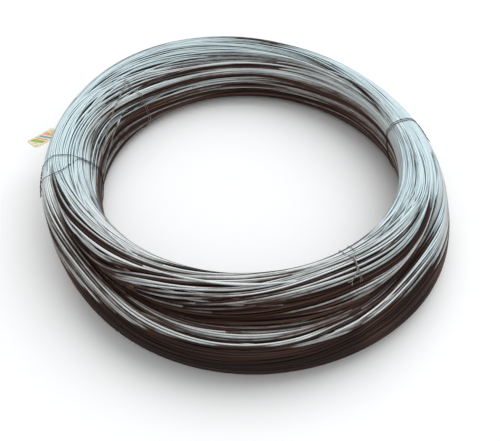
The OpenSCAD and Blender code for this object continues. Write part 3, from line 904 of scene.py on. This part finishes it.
# Strands that the photo shows one by one, in rows of (theta, phi, lift).
CHOSEN_STRANDS = [
    [(158, 171, -5), (166, 177, 1.2), (175, 183, 1.6), (184, 189, 1.2), (194, 193, -5)],
    [(346, 60, -6), (352, 59.5, -2), (358, 59, 0.4), (363, 58.5, 1.4), (366.5, 58, 3.4)],
    [(274, 13, -4), (279, 14.8, -1.7), (283, 16.6, -0.4), (287, 17.4, 0.6), (292.5, 17.8, 0.8),
     (298, 17, 0.4), (306, 15.5, -3)],
    [(280, 16.6, -3), (285, 18, 0.2), (290, 19.5, 0.8), (295, 21, 0.8), (301, 22, 0),
     (308, 22, -3)],
]
# Others lie scattered, in rows of (theta from, to, phi from, to, number). Each has a span to both
# sides and a drift across, and rises by rows of (part of the span, lift).
SCATTERED = ((225, 340, 92, 120, 4), (35, 170, 100, 186, 12), (160, 225, 90, 150, 5),
             (305, 380, 92, 130, 6))
SPAN, DRIFT = (20, 40), (-5, 5)
RISE = ((-1, -9), (-0.5, -0.6), (0, 0.4), (0.5, -0.6), (1, -9))


def strand(rows):
    """One loose strand lying over its neighbours from rows of (theta, phi, lift), and its look in
    rows:
    theta, how pale with rub and painted light, how much painted sky reflection and how much painted
    shade."""
    theta, phi, lift = eased_rows(rows, STRAND_POINTS).T
    way = way_of(phi)
    here = on_hull(theta, way)
    path = placed(theta, *sunk_place(here, lift))
    on_top = soft_step(-2, 0.7, lift)
    low_wall = np.clip(here[:, STEP_MARK], 0, 1)
    # Painted light on strands lying on top, paler as they face up, and painted shade where they go
    # under on the low wall.
    lit_bareness = (0.18 + 0.54 * soft_step(0.1, 0.8, here[:, FACING_UP])) * (1 - 0.3 * low_wall) * on_top \
        + rub_and_light(theta, way, here) * (1 - on_top)
    shelter = 0.7 * low_wall * (1 - on_top)
    look = np.stack([theta, lit_bareness, painted_sky_tint(theta, here), shelter])
    return round_wire(path, UP, WIRE / 2, WIRE_SIDES), look


def loose_strands():
    """Strands that cross the lay at a small angle: each rises from between its neighbours, lies
    over them for part of the ring and goes under again."""
    strands = list(CHOSEN_STRANDS)
    for theta_low, theta_high, phi_low, phi_high, number in SCATTERED:
        for _ in range(number):
            middle, span = rng.uniform(theta_low, theta_high), rng.uniform(*SPAN)
            place, drift = rng.uniform(phi_low, phi_high), rng.uniform(*DRIFT)
            strands.append([(middle + k * span, place + k * drift, lift) for k, lift in RISE])
    parts, looks = zip(*(strand(rows) for rows in strands))
    theta, lit_bareness, cool, shelter = np.concatenate(looks, 1)
    number = np.repeat(np.arange(len(strands)), STRAND_POINTS)
    tone = rng.uniform(0.3, 0.8, len(strands))[number]
    values = round_rim(WIRE_SIDES, open_air=lit_bareness, tone=tone, cool=cool, shelter=shelter,
                       lay=lay_place(theta, LOOSE_LAYER + number * NEXT_WIRE))
    return (*joined(parts), values)


wire_piece("coil_loose_strands", *loose_strands())

# The tag

TAG_LENGTH, TAG_WIDTH, TAG_THICK, TAG_CORNER = 62.0, 28.0, 0.8, 4.0
TAG_HOLE, TAG_HOLE_INSET = 2.5, 6.0
TAG_CURL, TAG_CUP = 3.0, 1.2
TAG_ROUND = 72
PRINT_MARGIN, BAND_SLANT = 3.5, 0.55
LOOP_POINTS, LOOP_LENGTH, LOOP_HEIGHT, LOOP_SWAY = 64, 7.6, 5.0, 0.4
LOOP_BACK, LOOP_DOWN = 7.0, 1.0
TAG_NEAR_END = np.array([-394.0, 6.0 + SHIFT_Y, 110.5])
tag_along = unit(np.array([-0.53, -0.846, 0.05]))
tag_across = unit(np.cross(UP, tag_along))
tag_up = np.cross(tag_along, tag_across)


def on_tag(u, v, w):
    """Points of the tag from its length, width and thickness places in millimetres. The card
    curls up a little towards its far end and cups across."""
    lift = TAG_CURL * (u / TAG_LENGTH) ** 2 + TAG_CUP * (v / TAG_WIDTH) ** 2
    return (TAG_NEAR_END + u[..., None] * tag_along + v[..., None] * tag_across
            + (w + lift)[..., None] * tag_up) * MM


def tag_card():
    """A card with round corners and a hole: rings go from the hole out over the top face, round
    the edge and back under to the hole, so the surface closes on itself."""
    turn = np.arange(TAG_ROUND) * 2 * math.pi / TAG_ROUND
    c, s = np.cos(turn), np.sin(turn)
    corner_u = np.where(c > 0, TAG_LENGTH - TAG_CORNER, TAG_CORNER)
    outline = np.stack([corner_u + TAG_CORNER * c,
                        np.sign(s) * (TAG_WIDTH / 2 - TAG_CORNER) + TAG_CORNER * s], -1)
    hole = np.array([TAG_HOLE_INSET, 0.0])
    angle = np.unwrap(np.arctan2(outline[:, 1], outline[:, 0] - hole[0]))
    dense = np.concatenate([angle - 2 * math.pi, angle, angle + 2 * math.pi])
    rim = np.stack([np.interp(turn, dense, np.tile(outline[:, i], 3)) for i in (0, 1)], -1)
    ring = hole + TAG_HOLE * np.stack([c, s], -1)
    spread = np.array([0, 0.06, 0.15, 0.3, 0.45, 0.6, 0.75, 0.9, 0.985, 1.0])
    out = np.concatenate([spread, spread[::-1]])
    flat = len(spread) - 1
    w = TAG_THICK * np.concatenate([np.ones(flat), [0.75, 0.25], np.zeros(flat)])
    plan = ring[None] + out[:, None, None] * (rim - ring)[None]
    thick = np.broadcast_to(w[:, None], plan.shape[:2])
    face = np.concatenate([plan, thick[..., None]], -1)
    points = on_tag(plan[..., 0], plan[..., 1], thick)
    return points.reshape(-1, 3), ring_faces(len(w), TAG_ROUND, True), face.reshape(-1, 3)


def printed_card():
    """Coated card with plain printed bands: the eye sees cream card, a soft sheen and colours a
    little faded and soiled. The card's edge and underside are dark brown as painted shade."""
    material, tree = new_material("coated_printed_card")
    face = value_of(tree, "face", "Vector")
    u, v, w = node(tree, "SeparateXYZ", None, Vector=face).outputs
    slant = node(tree, "Math", {"operation": "MULTIPLY_ADD", 1: BAND_SLANT}, _0=v, _2=u).outputs[0]
    place = node(tree, "MapRange", {1: 0.0, 2: TAG_LENGTH}, _0=slant).outputs[0]
    bands = node(tree, "ValToRGB", {"stops": [
        (0.0, "#E6D3A8"), (0.2, "#E39A5E"), (0.34, "#EADDB8"), (0.4, "#5C93A6"), (0.5, "#EADDB8"),
        (0.55, "#D98C62"), (0.62, "#EADDB8"), (0.66, "#8FA644"), (0.82, "#E6D9B0")]}, Fac=place)
    bands.color_ramp.interpolation = "CONSTANT"
    wide = node(tree, "Math", {"operation": "ABSOLUTE"}, _0=v).outputs[0]
    inside = node(tree, "Math", {"operation": "LESS_THAN", 1: TAG_WIDTH / 2 - PRINT_MARGIN},
                  _0=wide)
    print_on = node(tree, "Mix", {"data_type": "RGBA", 6: linear("#E9DDB9")},
                    Factor=inside.outputs[0], _7=bands.outputs["Color"])
    # Painted shade: the card's edge and underside are dark brown.
    top = node(tree, "Math", {"operation": "GREATER_THAN", 1: TAG_THICK * 0.9}, _0=w)
    card_and_edge_shade = node(tree, "Mix", {"data_type": "RGBA", 6: linear("#5E5446")}, Factor=top.outputs[0],
                 _7=print_on.outputs[2])
    soil = noise(tree, face, 1 / SOIL_SPOT, 4.0)
    dirt = node(tree, "MapRange", {1: 0.45, 2: 0.75, 3: 0.0, 4: 0.55}, _0=soil)
    colour = node(tree, "Mix", {"data_type": "RGBA", 7: linear("#6B5F4C")}, Factor=dirt.outputs[0],
                  _6=card_and_edge_shade.outputs[2])
    finish_with(tree, {"Roughness": 0.42}, Base_Color=colour.outputs[2])
    return material


points, quads, face = tag_card()
new_piece("tag_card", points, quads, "tag", "printed_card", printed_card(), (("face", face),))


def tag_loop():
    """The tag's wire: an oval ring through the tag's hole that goes down among the outer turns."""
    turn = np.arange(LOOP_POINTS) * 2 * math.pi / LOOP_POINTS
    u = TAG_HOLE_INSET - LOOP_BACK + LOOP_LENGTH * np.cos(turn)
    w = -LOOP_DOWN + LOOP_HEIGHT * np.sin(turn)
    path = on_tag(u, LOOP_SWAY * np.sin(turn), w)
    return round_wire(path, tag_across, TIE_WIRE / 2, LOOP_SIDES, True)


new_piece("tag_loop", *tag_loop(), "tag_wire", "dark_binding_wire", dark_tie)

# Floor in metres, and light with angles in degrees

FLOOR_CORNERS = [(-6, -6, 0), (6, -6, 0), (6, 9, 0), (-6, 9, 0)]
SURROUND_STRENGTH, SKY_STRENGTH = 0.68, 1.75
SKY_SPREAD, SKY_TILT, SKY_TURN = 70, -38, -8

floor_mesh = bpy.data.meshes.new("floor")
floor_mesh.from_pydata(FLOOR_CORNERS, [], [(0, 1, 2, 3)])
floor = bpy.data.objects.new("floor", floor_mesh)
bpy.context.collection.objects.link(floor)
# Matt white paper: the eye sees a plain pale ground with a soft shadow and no shine.
floor_paper, tree = new_material("matt_white_studio_paper")
finish_with(tree, {"Base Color": linear("#FFFFFF"), "Roughness": 0.9})
floor_mesh.materials.append(floor_paper)

world = bpy.data.worlds.new("studio")
bpy.context.scene.world = world
world.use_nodes = True
background = world.node_tree.nodes["Background"]
background.inputs["Color"].default_value = linear("#F7F8F8")
background.inputs["Strength"].default_value = SURROUND_STRENGTH

sky = bpy.data.lights.new("back_sky", "SUN")
sky.energy = SKY_STRENGTH
sky.angle = math.radians(SKY_SPREAD)
sky.color = linear("#FBFDFF")[:3]
sky_lamp = bpy.data.objects.new("back_sky", sky)
sky_lamp.rotation_euler = (math.radians(SKY_TILT), 0, math.radians(SKY_TURN))
bpy.context.collection.objects.link(sky_lamp)

# Camera, fitted to the photo: angles in radians, distance and the height aimed at in millimetres,
# and the focal length and the shift of the middle in the photo's pixels.
ELEVATION, ROLL, DISTANCE, AIM_HEIGHT = 0.805, 0.111, 1201.7, 60.0
PHOTO_WIDTH, FOCAL_PX, SHIFT_RIGHT_PX, SHIFT_UP_PX = 500, 579.7, 10.4, -53.3
SENSOR = 36.0
back = np.array([0, -math.cos(ELEVATION), math.sin(ELEVATION)])
level = np.array([1.0, 0, 0])
upward = np.cross(back, level)
camera_right = math.cos(ROLL) * level + math.sin(ROLL) * upward
camera_up = -math.sin(ROLL) * level + math.cos(ROLL) * upward
aim = np.array([-LEAN_X / 2, SHIFT_Y - LEAN_Y / 2, AIM_HEIGHT])
spot = (aim + DISTANCE * back) * MM
lens = bpy.data.cameras.new("camera")
lens.sensor_fit = "HORIZONTAL"
lens.sensor_width = SENSOR
lens.lens = FOCAL_PX * SENSOR / PHOTO_WIDTH
lens.shift_x = SHIFT_RIGHT_PX / PHOTO_WIDTH
lens.shift_y = SHIFT_UP_PX / PHOTO_WIDTH
camera = bpy.data.objects.new("camera", lens)
axes = np.stack([camera_right, camera_up, back], 1)
camera.matrix_world = Matrix([[*row, p] for row, p in zip(axes, spot)] + [[0, 0, 0, 1]])
bpy.context.collection.objects.link(camera)
bpy.context.scene.camera = camera
bpy.context.scene.view_settings.view_transform = "Standard"
